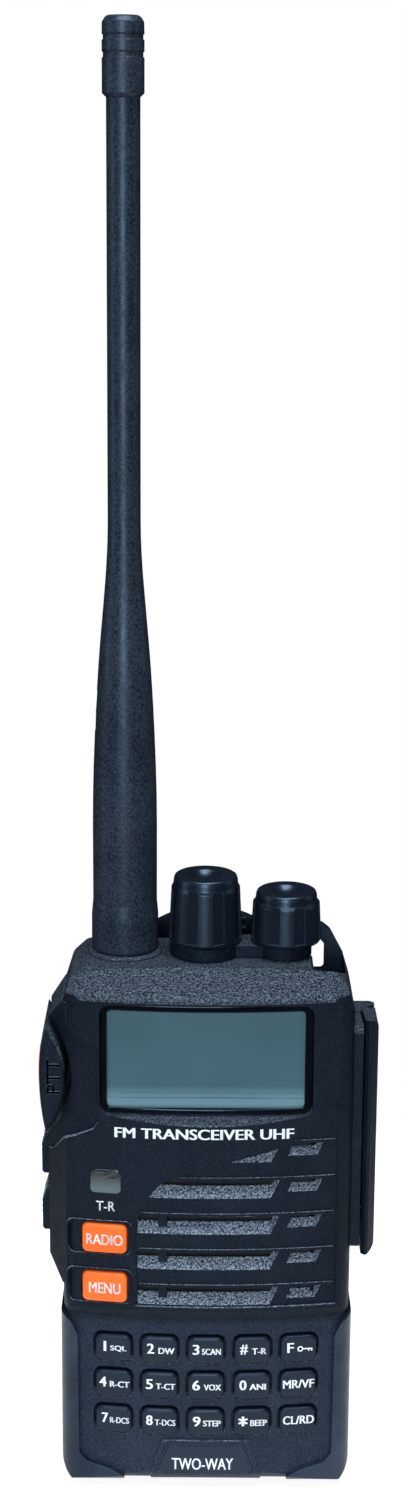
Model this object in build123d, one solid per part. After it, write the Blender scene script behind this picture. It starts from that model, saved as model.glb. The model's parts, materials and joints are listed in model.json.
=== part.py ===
from build123d import *
import math
import os

# Handheld keypad FM transceiver with a screw-on whip, belt clip and slide-off battery.
# Millimetres. X is to the right of a person facing the front, Y points to the back, Z is up.
# The origin is the middle of the base, so the front face is at negative Y.

# ---------------------------------------------------------------- driving dimensions
FRONT_R = 145.0            # plan radius of the bowed front
PANEL_Y = -17.0            # foremost line of the upper panel
BAY_Y = -16.0              # foremost line of the keypad bay
FIELD_Y = -16.45           # foremost line of the sunk speaker field
WALL = 2.0                 # front wall
HALF_W = 27.8              # half width of the housing
RAIL_HALF_W = 28.4         # half width over the side rails
BODY_H = 106.0             # height of the top deck
DECK_UNDER = BODY_H - 2.2
STEP_Z = 36.6              # lower edge of the upper panel
LOWER_ROLL = 5.2           # radius of the rolled lower front edge
HEEL = 1.4                 # rise of the underside towards the front
PART_Y = 2.0               # parting plane of housing and chassis
PLATE_T = 2.5              # chassis plate
SEAL_T = 0.6
TOP_BACK_Y = 9.5           # back of the housing's top compartment
SHELF_Z = 88.0             # floor of the top compartment
BATTERY_BACK = 17.0        # back of the battery
BATTERY_TOP = 85.1
BOSS_X = -30.5             # outer face of the left key boss
JACK_FACE_X = 29.6         # outer face of the right jack boss

WINDOW = (-0.25, 90.1, 40.3, 22.0)      # centre x, centre z, width, height
STATUS = (-19.4, 65.55, 5.8, 4.8)

KEY_W, KEY_H = 6.9, 5.5
KEY_PITCH_X = 9.0
KEY_ROWS = (30.45, 22.8, 15.0)
KEY_GAP = 0.5              # gap round a keypad key
KEY_NAMES = (
    ("key_1", "key_2", "key_3", "key_hash", "key_function"),
    ("key_4", "key_5", "key_6", "key_0", "key_memory"),
    ("key_7", "key_8", "key_9", "key_star", "key_clear"),
)
ORANGE_X, ORANGE_W = -19.6, 8.6
ORANGE = {"key_radio": (53.95, 5.8), "key_menu": (43.8, 6.0)}   # centre z, height

SLOT_PITCH = 7.42          # speaker louvres
SLOT_ROWS = 5
SLOT_TOP = 73.5            # top edge of the highest slot
SLOT_H = 3.7
SLOT_THROAT = 1.4          # open height along the top of a slot
SHORT_SLOT_H = 2.4
SHORT_SLOT_THROAT = 0.9
SPEAKER_AT = (4.0, 59.0)
SPEAKER_R = 14.5
MIC_AT = (20.5, 42.5)

ANTENNA_AT = (-16.15, 2.0)
WHIP_BASE_Z = 106.9
WHIP_TOP_Z = 279.2
BOOT_R = 6.15
ROD_R = 3.07
CAP_R = 3.8
CAP_Z = 265.3

# x, y, top z, radius at the base, of the grip and of the top face
KNOBS = {"channel": (-0.6, 1.0, 121.8, 7.1, 6.6, 5.95), "volume": (14.95, 1.0, 118.8, 6.8, 6.45, 5.65)}
KNOB_BASE_Z = 108.8
KNOB_FLUTES = 8
SHAFT_R = 3.0
BUSH_R = 3.5
RUN = 0.05                 # radial clearance of running fits

JACK_Y = -2.5
JACKS = ((77.0, 1.80), (65.5, 1.30))    # z, bore radius: 3.5 mm and 2.5 mm plugs
JACK_DEPTH = 14.0
COVER_Z = (48.6, 97.0)
COVER_BACK_TOP = 94.4                   # the cover's top falls towards its hinge
COVER_HINGE = (31.35, 5.2)              # x, y
COVER_PIN_R = 0.7
HINGE_Z = (49.2, 94.2)
LUG_H = 4.0

CLIP_PIVOT = (16.0, 97.0)               # y, z
CLIP_PIN_R = 1.0
CLIP_HALF_W = 11.0
CLIP_SCREWS = ((-5.6, 92.6), (5.6, 92.6))

PTT_Z = (74.2, 96.6)
SIDE_KEYS = {"side_key_upper": (63.85, 72.2), "side_key_lower": (52.0, 60.7)}


# ---------------------------------------------------------------- helpers
def flat(points, radius=0.0):
    """Closed outline through the points, its corners rounded."""
    if radius:
        return make_face(FilletPolyline(*points, radius=radius, close=True))
    return make_face(Polyline(*points, close=True))


def rounded(x, z, width, height, radius):
    return Pos(x, z) * RectangleRounded(width, height, radius)


def along_x(face, x0, x1):
    """An outline given as (y, z), extruded along X."""
    return extrude(Plane(origin=(x0, 0, 0), x_dir=(0, 1, 0), z_dir=(1, 0, 0)) * face, x1 - x0)


def along_y(face, y0=-25.0, y1=30.0):
    """An outline given as (x, z), extruded along Y."""
    return extrude(Plane(origin=(0, y1, 0), x_dir=(1, 0, 0), z_dir=(0, -1, 0)) * face, y1 - y0)


def along_z(face, z0=-5.0, z1=125.0):
    """An outline given as (x, y), extruded along Z."""
    return extrude(Pos(0, 0, z0) * face, z1 - z0)


def block(x0, x1, y0, y1, z0, z1):
    return Pos((x0 + x1) / 2, (y0 + y1) / 2, (z0 + z1) / 2) * Box(x1 - x0, y1 - y0, z1 - z0)


def rod(x, y, z0, z1, radius):
    """Upright cylinder."""
    return Pos(x, y, (z0 + z1) / 2) * Cylinder(radius, z1 - z0)


def rod_x(y, z, x0, x1, radius):
    return Pos((x0 + x1) / 2, y, z) * Rot(0, 90, 0) * Cylinder(radius, x1 - x0)


def rod_y(x, z, y0, y1, radius):
    return Pos(x, (y0 + y1) / 2, z) * Rot(90, 0, 0) * Cylinder(radius, y1 - y0)


def bow(x, apex):
    """Depth of a bowed surface at x."""
    return apex + FRONT_R - math.sqrt(FRONT_R**2 - x**2)


def plan(apex, half_width, back, corner=0.0):
    """Plan outline with a bowed front."""
    side = bow(half_width, apex)
    edges = [
        ThreePointArc((-half_width, side), (0, apex), (half_width, side)),
        Line((half_width, side), (half_width, back)),
        Line((half_width, back), (-half_width, back)),
        Line((-half_width, back), (-half_width, side)),
    ]
    face = Sketch() + make_face(edges)
    if corner:
        face = fillet(face.vertices().sort_by(Axis.Y)[:2], corner)
    return face


def plate(outline, front, back):
    """An (x, z) outline cut from the layer between two bowed surfaces."""
    reach = 34.0
    edges = [
        ThreePointArc((-reach, bow(reach, front)), (0, front), (reach, bow(reach, front))),
        Line((reach, bow(reach, front)), (reach, bow(reach, back))),
        ThreePointArc((reach, bow(reach, back)), (0, back), (-reach, bow(reach, back))),
        Line((-reach, bow(reach, back)), (-reach, bow(reach, front))),
    ]
    return along_y(outline) & along_z(make_face(edges))


def front_edges(solid):
    """Edges round the foremost face."""
    return solid.faces().sort_by(Axis.Y)[0].edges()


def solid_of(z_radius_pairs, x, y):
    """Turned part with straight flanks, about an upright axis."""
    z_low = z_radius_pairs[0][0]
    z_high = z_radius_pairs[-1][0]
    outline = [(0, z_low)] + [(r, z) for z, r in z_radius_pairs] + [(0, z_high)]
    return Pos(x, y, 0) * revolve(Plane.XZ * flat(outline), Axis.Z)


# ---------------------------------------------------------------- housing
UPPER_FRONT = [
    (-HALF_W, STEP_Z + 2.8), (-HALF_W + 1.6, STEP_Z + 1.1), (0, STEP_Z), (HALF_W - 1.6, STEP_Z + 1.1),
    (HALF_W, STEP_Z + 2.8), (HALF_W, 99.0), (26.3, 104.0), (23.6, BODY_H), (-23.4, BODY_H),
    (-26.3, 104.5), (-HALF_W, 100.0),
]
BROW_TOP = (-9.7, BODY_H)               # the brow slopes down from here, in y and z
BROW_RISE = 0.45
STEP_BEVEL = (2.4, 1.0)                 # height and depth of the bevel under the panel
SPEAKER_FIELD_LEFT = [
    (-13.8, 39.8), (-13.7, 51.0), (-13.35, 57.2), (-11.8, 61.6), (-9.0, 65.2), (-4.6, 67.9),
    (2.4, 69.6), (8.1, 71.1), (13.75, 72.9), (17.5, 75.2), (21.2, 78.9), (23.2, 82.2),
]
RAIL_INNER = [
    (28.6, 36.6), (26.3, 35.2), (25.0, 32.8), (24.8, 7.4), (23.2, 5.5), (18.6, 4.2), (16.0, 2.8),
    (15.4, -1.0), (31.0, -1.0), (31.0, 36.6),
]
BADGE = [(-10.9, -1.0), (-10.7, 3.2), (-8.3, 10.9), (8.4, 10.9), (10.8, 3.2), (11.0, -1.0)]
SCREWS = ((-22.8, 7.0), (22.8, 7.0), (-22.8, 37.0), (22.8, 84.0))


def bay_side(front):
    """Side outline of the keypad part, with its rolled lower front edge."""
    face = Sketch() + flat([(front, HEEL), (front + 9.5, 0), (12, 0), (12, 50), (front, 50)])
    return fillet(face.vertices().sort_by(Axis.X)[:2].sort_by(Axis.Y)[:1], LOWER_ROLL)


def behind_slope(z0, apex0, z1, apex1):
    """What lies behind a sloping surface that follows the bow of the front."""
    return loft([Pos(0, 0, z0) * plan(apex0, 36, 26), Pos(0, 0, z1) * plan(apex1, 36, 26)], ruled=True)


def behind_brow(rise, apex, z, z_low, z_high):
    """What lies behind a brow slope through (apex, z) and between two heights."""
    return behind_slope(z_low, apex - (z - z_low) / rise, z_high, apex + (z_high - z) / rise)


def bottom_rounded(face, radius):
    return fillet(face.vertices().sort_by(Axis.Y)[:2], radius)


def bay_body(apex, half_width):
    outline = bottom_rounded(
        Sketch() + flat([(-half_width, 0), (half_width, 0), (half_width, 48), (-half_width, 48)]), 5.5)
    side = bay_side(apex)
    return along_y(outline, -25, PART_Y) & along_z(plan(apex, half_width, 20, 4.5)) & along_x(side, -40, 40)


def scoop():
    """Space cut out beside the display for the thumb, sloping back to the left."""
    outline = flat([
        (-20.7, 77.6), (-20.7, 92.2), (-22.6, 93.3), (-25.6, 95.0), (-27.8, 98.0), (-29.2, 100.8),
        (-36, 101.5), (-36, 69.5), (-29.6, 70.4), (-27.4, 73.4), (-24.8, 74.6), (-21.8, 76.0),
    ])
    depth = Sketch() + flat([(-20.7, -25), (-20.7, -14.9), (-25.0, -13.9), (-29.0, -11.3), (-36, -6.0), (-36, -25)])
    return along_y(outline, -25, 0) & along_z(depth)


def lens(left, right, z0, z1, tip=-30.9):
    """Thin upright lens shape, for the push-to-talk lever and its pocket."""
    middle = (z0 + z1) / 2
    return make_face([
        ThreePointArc((tip, z0), (right, middle), (tip, z1)),
        ThreePointArc((tip, z1), (left, middle), (tip, z0)),
    ])


def key_hole(x, z, width, height, gap, radius):
    return along_y(rounded(x, z, width + 2 * gap, height + 2 * gap, radius + gap), -25, -8)


def louvre(left, right, z_top, height, throat, lean=0.0):
    """One louvre slot: open along its top, with ramps up to the face below and at the right."""
    z_low = z_top - height
    slant = 0.5 * height

    def mouth(edge, y):
        outline = flat([(left + lean, z_top), (edge, z_top), (edge - slant, z_low), (left, z_low)])
        return Plane(origin=(0, y, 0), x_dir=(1, 0, 0), z_dir=(0, -1, 0)) * outline

    slot = loft([mouth(right + 0.9, FIELD_Y - 1.0), mouth(right - 2.5, FIELD_Y + 4.2)], ruled=True)
    return slot - behind_slope(z_low - 0.02, FIELD_Y, z_top - throat, PANEL_Y + WALL + 0.1)


def speaker_field():
    curve = Spline(*SPEAKER_FIELD_LEFT)
    right = 25.0
    low = SPEAKER_FIELD_LEFT[0][1]
    outline = make_face([
        curve,
        Line(SPEAKER_FIELD_LEFT[-1], (right, SPEAKER_FIELD_LEFT[-1][1])),
        Line((right, SPEAKER_FIELD_LEFT[-1][1]), (right, low)),
        Line((right, low), SPEAKER_FIELD_LEFT[0]),
    ])
    return Sketch() + outline


def upper_body():
    body = along_y(flat(UPPER_FRONT, 1.2), -25, TOP_BACK_Y) & along_z(plan(PANEL_Y, HALF_W, 20, 3.6))
    corner = flat([(-30, 30), (-30, 1.0), (-24.0, TOP_BACK_Y + 0.1), (-24.0, 30)])
    body -= along_z(corner, 98.0, 120)
    height, depth = STEP_BEVEL
    low = behind_slope(STEP_Z - 5, BAY_Y + 5 * depth / height, STEP_Z + 10, BAY_Y - 10 * depth / height)
    middle = block(-40, 40, -25, 26, STEP_Z + 9.9, 100.0)
    brow = behind_brow(BROW_RISE, *BROW_TOP, 99.9, 112.0)
    return body & (low + middle + brow)


def make_front_housing():
    upper = upper_body()
    upper -= block(-40, 40, PART_Y, 20, 0, SHELF_Z + 2)
    shell = upper + bay_body(BAY_Y, HALF_W)

    boss_front = flat([(-26, 43.5), (-27.9, 43.2), (BOSS_X, 48.3), (BOSS_X, 96.6), (-27.7, 101.0), (-26, 101.0)])
    boss_plan = flat([(-26, -14.0), (-27.0, -14.0), (BOSS_X, -10.6), (BOSS_X, PART_Y), (-26, PART_Y)])
    shell += along_y(boss_front, -25, PART_Y) & along_z(boss_plan)
    jack_boss = along_x(flat([(-11.5, 49.8), (PART_Y, 49.8), (PART_Y, 93.8), (-11.5, 95.8)], 1.5), 26, JACK_FACE_X)
    shell += jack_boss
    for z0, z1 in ((HINGE_Z[0], HINGE_Z[0] + LUG_H), (HINGE_Z[1] - LUG_H, HINGE_Z[1])):
        lug = block(HALF_W + 0.1, COVER_HINGE[0], COVER_HINGE[1] - 4.5, COVER_HINGE[1] + 1.35, z0, z1)
        lug += rod(*COVER_HINGE, z0, z1, 1.35)
        shell += lug

    shell -= scoop()

    # raised details of the front
    shell += plate(flat(BADGE, 0.6), BAY_Y - 0.55, BAY_Y + 1.5) & along_x(bay_side(BAY_Y - 0.55), -30, 30)
    for z, height in ORANGE.values():
        outer = rounded(-20.6, z - 0.1, 12.9, height + 1.5, 1.6)
        inner = rounded(-20.6, z - 0.1, 12.2, height + 0.8, 1.25)
        shell += plate(outer - inner, PANEL_Y - 0.28, PANEL_Y + 0.5)
    ring = solid_of([(BODY_H - 1, 7.2), (BODY_H + 0.2, 7.2), (BODY_H + 0.7, 6.7)], *ANTENNA_AT)
    shell += ring

    # sunk speaker field with its louvres
    field = speaker_field()
    shell -= along_y(field, -25, -9) - along_z(plan(FIELD_Y, 33, 20))
    for row in range(SLOT_ROWS):
        top = SLOT_TOP - row * SLOT_PITCH
        shell += plate(flat([(-12.9, top + 0.2), (24.4, top + 0.2), (24.4, top + 0.65), (-12.9, top + 0.65)]) & field,
                       FIELD_Y - 0.3, FIELD_Y + 0.5)
        cut = louvre(-13.3, 14.1, top, SLOT_H, SLOT_THROAT) & along_y(field, -25, -8)
        if row >= 2:
            cut -= block(-9.3, -7.6, -25, -8, top - 2.2, top + 1)
        shell -= cut
        shell -= louvre(15.4, 22.9, top - 0.1, SHORT_SLOT_H, SHORT_SLOT_THROAT, 0.9)

    shell -= make_seal()

    # cavity, open to the back
    low_cavity = along_z(plan(BAY_Y + WALL, HALF_W - WALL, 20)) & block(-30, 30, -25, PART_Y, WALL + 1.5, 39.5)
    mid_cavity = along_z(plan(PANEL_Y + WALL, HALF_W - WALL, 20)) & block(-30, 30, -25, PART_Y, 39.5, 72)
    top_cavity = along_z(plan(PANEL_Y + WALL, HALF_W - WALL, 20)) & block(-21.5, 30, -25, PART_Y, 72, DECK_UNDER)
    top_cavity &= along_x(
        flat([(-15.6, 72), (-15.6, 100.6), (-8.2, DECK_UNDER), (20, DECK_UNDER), (20, 72)]), -40, 40)
    shell -= low_cavity + mid_cavity + top_cavity
    back_cavity = along_z(flat([(-25.4, PART_Y - 1), (25.4, PART_Y - 1), (25.4, TOP_BACK_Y), (-19.5, TOP_BACK_Y),
                                (-25.4, 4.2)]), SHELF_Z, DECK_UNDER)
    shell -= back_cavity
    for x, z in SCREWS:
        post = rod_y(x, z, -15.2, PART_Y, 2.6) & along_z(plan(BAY_Y + 0.5, HALF_W, 20))
        shell += post
        shell -= rod_y(x, z, -10.0, PART_Y, 0.8)

    # strap shoulder at the back right corner: a ramp that falls away behind the brow
    shell -= along_x(flat([(-9.0, 115), (-9.0, 105.5), (12, 97.2), (12, 115)]), 19.6, 30) & block(
        19.6, 26.4, -9.0, 12, 90, 115)
    shell -= block(11.5, 26.4, 8.4, 12, 98.2, 115)

    # display tray and window opening
    x, z, width, height = WINDOW
    tray_front = Plane(origin=(0, -17.8, 0), x_dir=(1, 0, 0), z_dir=(0, -1, 0)) * (
        rounded(x + 1.0, z - 1.3, width + 3.4, height + 3.6, 2.6))
    tray_back = Plane(origin=(0, -15.9, 0), x_dir=(1, 0, 0), z_dir=(0, -1, 0)) * (
        rounded(x, z, width + 0.2, height + 0.2, 2.0))
    shell -= loft([tray_front, tray_back], ruled=True)
    shell -= along_y(rounded(x, z, width + 0.1, height + 0.1, 2.0), -16.0, -8)

    # openings for keys, status window, microphone and shafts
    for row, z in enumerate(KEY_ROWS):
        for column in range(5):
            shell -= key_hole((column - 2) * KEY_PITCH_X, z, KEY_W, KEY_H, KEY_GAP, 1.3)
    for z, height in ORANGE.values():
        shell -= key_hole(ORANGE_X, z, ORANGE_W, height, 0.2, 1.1)
    shell -= along_y(rounded(STATUS[0], STATUS[1], STATUS[2], STATUS[3], 0.9), -25, -8)
    shell -= rod_y(*MIC_AT, -25, -8, 0.45)
    shell -= rod(*ANTENNA_AT, 100, 112, 4.2)
    for knob_x, knob_y, *_ in KNOBS.values():
        shell -= rod(knob_x, knob_y, 100, 112, BUSH_R)

    # pockets for the push-to-talk lever and the side keys, and the badge seat
    shell -= along_y(lens(-35.0, -25.9, PTT_Z[0] - 1.0, PTT_Z[1] + 1.0), -25, 0.8)
    shell -= block(-34, -30.9, -25, 0.8, PTT_Z[0] - 0.6, PTT_Z[1] + 0.6)
    for z0, z1 in SIDE_KEYS.values():
        shell -= block(-34, -28.7, -8.6, -0.4, z0 - 0.35, z1 + 0.35)
    shell -= plate(flat([(-9.7, 3.9), (-7.3, 9.6), (7.5, 9.6), (9.7, 3.9)], 0.5), -20, BAY_Y - 0.1)

    # jack bay
    shell -= block(24, 32, JACK_Y - 3.85, JACK_Y + 3.85, 60.5, 81.0)
    shell -= rod(*COVER_HINGE, HINGE_Z[0] - 1, HINGE_Z[1] + 1, COVER_PIN_R)
    return shell


def make_side_rails():
    outer = bay_body(PANEL_Y + 0.15, RAIL_HALF_W) & block(-40, 40, -25, -3.0, -1, 37.0)
    inner = bay_body(BAY_Y, HALF_W)
    right = (outer - inner) & along_y(flat(RAIL_INNER, 0.5), -25, 20)
    right = right & block(16, 40, -25, 20, 0.0, 40)
    return right + mirror(right, about=Plane.YZ)


def make_brow():
    """Textured plate over the display, on the slope of the housing."""
    proud = 0.55
    outline = flat([(-24.2, 101.9), (-25.5, 103.2), (-25.2, 104.9), (-23.6, 106.9), (23.4, 106.9),
                    (24.9, 105.0), (25.2, 103.4), (23.8, 101.9)], 0.5)
    apex, top = BROW_TOP
    raised = along_y(outline, -25, -7.0) & along_z(plan(PANEL_Y - proud, 33, 20))
    raised &= behind_brow(BROW_RISE, apex, top + proud, 99.9, 112.0)
    raised &= behind_brow(1.2, PANEL_Y - proud, 102.5, 99.9, 112.0)
    raised &= along_x(flat([(-20, 99), (-20, 107.5), (apex + 0.2, 107.5), (apex + 0.8, 99)]), -30, 30)
    window = along_y(rounded(WINDOW[0], WINDOW[1], WINDOW[2] + 0.3, WINDOW[3] + 0.9, 2.0), -25, -5)
    return raised - upper_body() - window


def make_key(x, z, width, height, proud, radius):
    """A key cap with the flange that keeps it in its hole."""
    cap = plate(rounded(x, z, width, height, radius), proud, BAY_Y + WALL + 0.6)
    cap = fillet(front_edges(cap), 0.5)
    flange = plate(rounded(x, z, width + 1.25, height + 1.25, radius), BAY_Y + WALL + 0.15, BAY_Y + WALL + 0.75)
    return cap + flange


def make_orange_key(z, height):
    cap = plate(rounded(ORANGE_X, z, ORANGE_W, height, 1.1), PANEL_Y - 1.1, PANEL_Y + WALL + 0.6)
    cap = fillet(front_edges(cap), 0.6)
    flange = plate(rounded(ORANGE_X, z, ORANGE_W + 1.0, height + 1.0, 1.1), PANEL_Y + WALL + 0.15,
                   PANEL_Y + WALL + 0.75)
    return cap + flange


# ---------------------------------------------------------------- inside
def make_board():
    board = block(-20, 20, -9.9, -8.3, 5.0, 99.0)
    chips = ((-8, 20, 12, 12), (9, 24, 9, 9), (-6, 48, 14, 10), (10, 52, 8, 14), (0, 88, 10, 10), (-12, 72, 7, 7))
    for x, z, width, height in chips:
        board += block(x - width / 2, x + width / 2, -8.3, -7.0, z - height / 2, z + height / 2)
    return board


def make_speaker():
    x, z = SPEAKER_AT
    frame = rod_y(x, z, -13.2, -11.8, SPEAKER_R)
    frame -= rod_y(x, z, -13.3, -12.6, SPEAKER_R - 1.5)
    frame += rod_y(x, z, -12.6, -10.0, SPEAKER_R - 5.0)
    return frame


def make_encoder(name):
    x, y, *_ = KNOBS[name]
    body = block(x - 5.4, x + 5.4, y - 5.4, y + 5.4, 97.0, DECK_UNDER - 0.2)
    body += rod(x, y, DECK_UNDER - 0.2, 111.0, BUSH_R - 0.02)
    return body - rod(x, y, 98.5, 113.0, 1.5 + RUN)


def make_shaft(name):
    x, y, top, *_ = KNOBS[name]
    return rod(x, y, 99.0, 111.5, 1.5) + rod(x, y, 111.5, top - 3.0, SHAFT_R - 0.8)


def make_knob(name):
    x, y, top, base_r, grip_r, top_r = KNOBS[name]
    outline = [
        (KNOB_BASE_Z, base_r - 0.3), (KNOB_BASE_Z + 0.5, base_r), (top - 2.4, grip_r), (top - 1.8, top_r + 0.3),
        (top - 0.7, top_r + 0.2), (top - 0.2, top_r), (top, top_r - 0.3),
    ]
    knob = solid_of(outline, x, y)
    flank = math.degrees(math.atan((base_r - grip_r) / (top - 2.4 - KNOB_BASE_Z)))
    for index in range(KNOB_FLUTES):
        angle = 360 / KNOB_FLUTES * index + 22.5
        cutter = Pos(base_r + 0.62, 0, KNOB_BASE_Z + 0.8) * Rot(0, -flank, 0) * Pos(0, 0, 20) * Box(2.0, 2.1, 40)
        knob -= Pos(x, y, 0) * Rot(0, 0, angle) * (cutter & block(0, 12, -3, 3, KNOB_BASE_Z + 0.8, top - 2.0))
    knob -= Pos(x, y, top + 2.8) * Sphere(4.2)
    knob -= rod(x, y, KNOB_BASE_Z - 1, 111.4, 4.3)
    return knob - rod(x, y, 111.0, top - 3.0, SHAFT_R - 0.8)


def make_jack_block():
    body = block(JACK_FACE_X - JACK_DEPTH - 1.5, JACK_FACE_X - 0.05, JACK_Y - 3.8, JACK_Y + 3.8, 60.6, 80.9)
    for z, radius in JACKS:
        body -= rod_x(JACK_Y, z, JACK_FACE_X - JACK_DEPTH, JACK_FACE_X + 1, radius)
    return body


# ---------------------------------------------------------------- right side cover
def make_cover():
    z0, z1 = COVER_Z
    inner, outer = JACK_FACE_X + 0.3, 32.5
    front = -12.0
    outline = flat([(inner, front + 1.0), (outer - 1.6, front), (outer, front + 2.2), (outer, 4.6),
                    (outer - 0.5, COVER_HINGE[1]), (inner, COVER_HINGE[1])], 0.45)
    side = flat([(-13, z0), (8, z0), (8, COVER_BACK_TOP), (5, COVER_BACK_TOP), (-13, z1)])
    end = rounded((20 + outer) / 2, (z0 + z1) / 2, outer - 20, z1 - z0, 2.2)
    cover = along_z(outline, z0, z1) & along_x(side, 25, 40) & along_y(end, -25, 20)
    cover -= block(25, 40, COVER_HINGE[1] - 4.8, 10, z0 - 1, HINGE_Z[0] + LUG_H + 0.3)
    cover -= block(25, 40, COVER_HINGE[1] - 4.8, 10, HINGE_Z[1] - LUG_H - 0.3, z1 + 1)
    cover += rod(*COVER_HINGE, HINGE_Z[0] + LUG_H + 0.3, HINGE_Z[1] - LUG_H - 0.3, 1.35)
    cover -= along_x(flat([(-9.5, 52.5), (-0.5, 52.5), (-0.5, 90.5), (-9.5, 90.5)], 1.5), inner - 1, inner + 0.9)
    return cover - rod(*COVER_HINGE, z0, z1, COVER_PIN_R + RUN)


# ---------------------------------------------------------------- left side
def make_ptt():
    z0, z1 = PTT_Z
    lever = along_y(lens(-32.1, -27.1, z0, z1), -13.4, 0.0)
    lever = fillet(front_edges(lever), 0.7)
    return lever - along_y(lens(-33.0, -31.75, z0 + 2.6, z1 - 2.6, -32.6), -9.5, -1.5)


def make_ptt_strip():
    z0, z1 = PTT_Z
    strip = along_y(lens(-32.4, -29.0, z0 + 1.1, z1 - 1.1, -31.0), -9.5, -1.5)
    return strip & along_y(lens(-33.0, -31.75, z0 + 2.6, z1 - 2.6, -32.6), -9.5, -1.5)


def make_side_key(z0, z1):
    outline = flat([(-32.0, z0 + 0.5), (-31.6, z0), (-29.6, z0), (-29.6, z1), (-31.2, z1), (-32.0, z1 - 2.6)], 0.18)
    key = along_y(outline, -8.2, -0.8)
    for rib in range(3):
        key += along_y(flat([(-31.9, 0), (-32.2, 0.3), (-31.9, 0.6)]), -6.5, -2.5).moved(
            Location((0, 0, (z0 + z1) / 2 - 1.6 + 1.1 * rib)))
    return key


# ---------------------------------------------------------------- antenna
def make_whip():
    x, y = ANTENNA_AT
    cone = Spline((BOOT_R, 131.0), (5.62, 150.5), (4.72, 165.2), (3.72, 176.8), (ROD_R, 190.0),
                  tangents=((0, 1), (0, 1)))
    outline = make_face([
        Line((0, WHIP_BASE_Z), (6.2, WHIP_BASE_Z)), Line((6.2, WHIP_BASE_Z), (6.45, WHIP_BASE_Z + 0.4)),
        Line((6.45, WHIP_BASE_Z + 0.4), (6.42, 113.6)), Line((6.42, 113.6), (BOOT_R, 116.6)),
        Line((BOOT_R, 116.6), (BOOT_R, 131.0)), cone,
        Line((ROD_R, 190.0), (ROD_R, CAP_Z)), Line((ROD_R, CAP_Z), (0, CAP_Z)), Line((0, CAP_Z), (0, WHIP_BASE_Z)),
    ])
    whip = Pos(x, y, 0) * revolve(Plane.XZ * (Sketch() + outline), Axis.Z)
    return whip - rod(x, y, WHIP_BASE_Z - 1, 118.0, 4.6)


def make_cap():
    outline = [
        (CAP_Z, ROD_R), (CAP_Z + 0.7, CAP_R), (272.0, CAP_R), (272.15, CAP_R - 0.2), (272.95, CAP_R - 0.2),
        (273.1, CAP_R), (275.0, CAP_R), (275.15, CAP_R - 0.2), (275.95, CAP_R - 0.2), (276.1, CAP_R),
        (WHIP_TOP_Z - 1.1, CAP_R - 0.05), (WHIP_TOP_Z - 0.3, CAP_R - 0.55), (WHIP_TOP_Z, CAP_R - 1.0),
    ]
    return solid_of(outline, *ANTENNA_AT)


def make_insert():
    x, y = ANTENNA_AT
    return rod(x, y, WHIP_BASE_Z + 0.1, 118.0, 4.6) - rod(x, y, WHIP_BASE_Z - 1, 116.2, 3.1 + RUN)


def make_socket():
    x, y = ANTENNA_AT
    body = rod(x, y, 98.5, BODY_H + 0.8, 4.15) + rod(x, y, BODY_H + 0.8, 115.0, 3.1)
    body += rod(x, y, 99.0, DECK_UNDER - 0.2, 5.2)
    for groove in range(6):
        z = 109.4 + 0.9 * groove
        body -= rod(x, y, z, z + 0.35, 4.0) - rod(x, y, z - 1, z + 1, 2.85)
    return body - rod(x, y, 111.0, 116.0, 1.2)


# ---------------------------------------------------------------- back
def make_chassis():
    back = TOP_BACK_Y + PLATE_T
    side = flat([
        (PART_Y, 1.2), (PART_Y + PLATE_T, 1.2), (PART_Y + PLATE_T, SHELF_Z - PLATE_T), (back, SHELF_Z - PLATE_T),
        (back, BODY_H - 1.4), (TOP_BACK_Y, BODY_H - 1.4), (TOP_BACK_Y, SHELF_Z), (PART_Y, SHELF_Z),
    ])
    frame = along_x(side, -27.2, 27.2)
    frame -= along_y(flat([(-30, 94.0), (-27.2, 95.0), (-24.6, 100.5), (-20.5, 104.0), (-20.5, 110), (-30, 110)]),
                     TOP_BACK_Y - 1, 20)
    for x in (-16.0, -5.5, 5.5):
        frame += block(x - 0.6, x + 0.6, PART_Y - 2.2, PART_Y + 0.5, 10.0, SHELF_Z - 6)
    frame -= block(11.5, 30.0, 8.0, 20, 98.2, 110)

    # strap loop: a bar that arches over the ramp, open front to back
    loop = flat([(27.6, 92.0), (27.6, 97.4), (26.7, 102.5), (24.0, 107.6), (22.4, 108.9), (14.4, 108.9),
                 (11.4, 105.4), (11.4, 92.0)], 0.9)
    hole = flat([(22.9, 99.4), (22.9, 104.9), (21.6, 106.4), (15.4, 106.4), (14.0, 104.9), (14.0, 99.4)], 0.8)
    frame += along_y(Sketch() + loop - hole, TOP_BACK_Y + 0.1, back)
    for x, z in SCREWS:
        frame -= rod_y(x, z, PART_Y - 3, PART_Y + 10, 1.3)
        frame -= rod_y(x, z, PART_Y + 1.2, PART_Y + 10, 2.5)
    for x, z in CLIP_SCREWS:
        frame -= rod_y(x, z, 5, 20, 1.2)
    return frame


def make_housing_screws():
    screws = []
    for x, z in SCREWS:
        head = rod_y(x, z, PART_Y + 1.25, PART_Y + 2.3, 2.2)
        head -= rod_y(x, z, PART_Y + 1.7, PART_Y + 2.4, 0.8)
        screws.append(head + rod_y(x, z, -5.0, PART_Y + 1.3, 0.79))
    return Compound(children=screws)


def make_clip_screws():
    screws = []
    for x, z in CLIP_SCREWS:
        head = rod_y(x, z, 14.25, 15.3, 2.0)
        head -= block(x - 1.5, x + 1.5, 14.9, 16, z - 0.3, z + 0.3)
        screws.append(head + rod_y(x, z, 7.5, 14.3, 1.15))
    return Compound(children=screws)


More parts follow.
